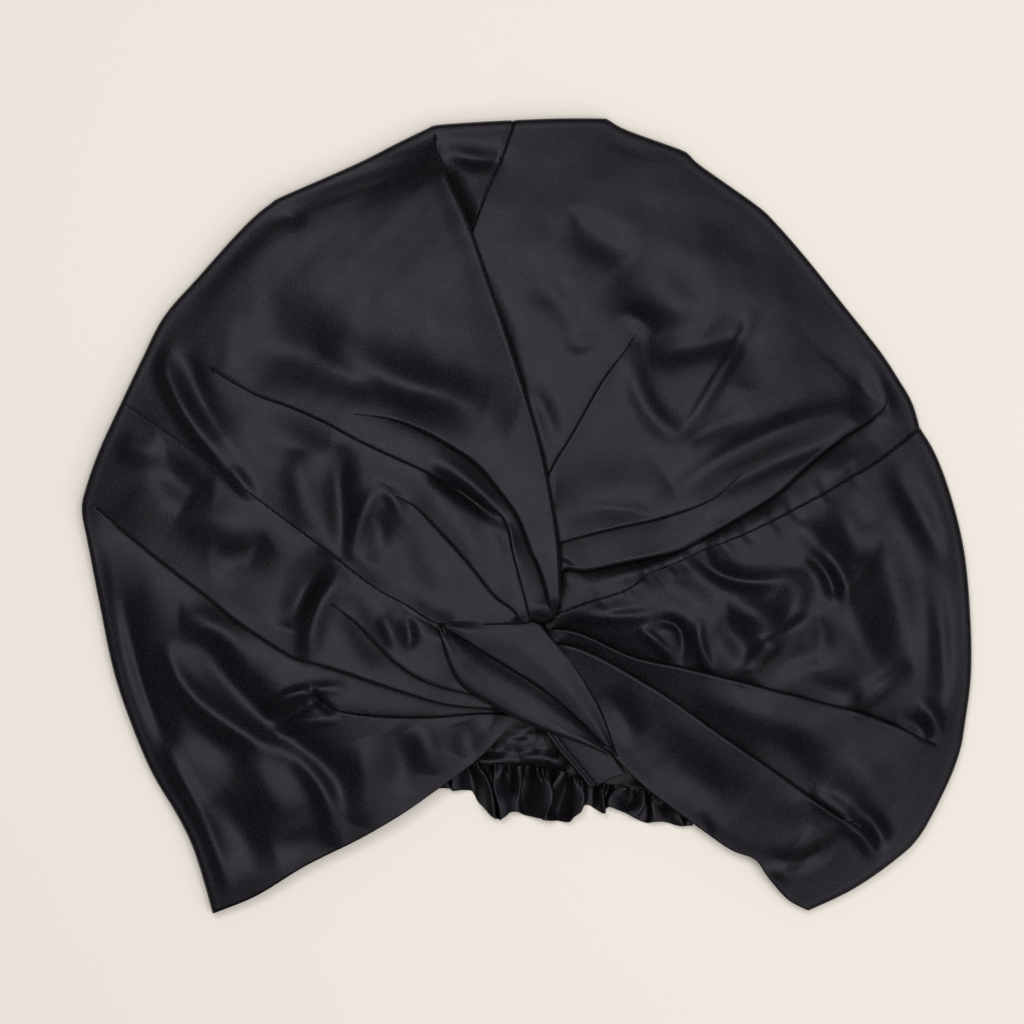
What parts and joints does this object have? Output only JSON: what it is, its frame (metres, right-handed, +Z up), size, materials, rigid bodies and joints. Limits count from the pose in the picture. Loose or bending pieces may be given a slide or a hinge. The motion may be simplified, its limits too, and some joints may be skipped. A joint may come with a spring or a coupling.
{
  "type": "sleep bonnet",
  "caption": "Twist-front satin sleep bonnet with a gathered nape hem, lying flat, open at its lower edge for the head.",
  "frame": {"origin": "on the surface the bonnet lies on, under the middle of its outline", "axes": "+Z up out of the front of the bonnet as it lies, +Y towards the top of the crown, +X to the right of the front as seen from above, across its greatest width"},
  "size_m": [0.3208, 0.2871, 0.025],
  "materials": {
    "outer_satin": "satin",
    "twist_satin": "satin",
    "hem_satin": "satin"
  },
  "bodies": {
    "root": {"crown_left": "outer_satin", "crown_right": "outer_satin", "brim_left": "outer_satin", "brim_right": "outer_satin", "twist_band": "twist_satin", "twist_tail": "twist_satin", "nape_hem": "hem_satin"}
  },
  "joints": []
}
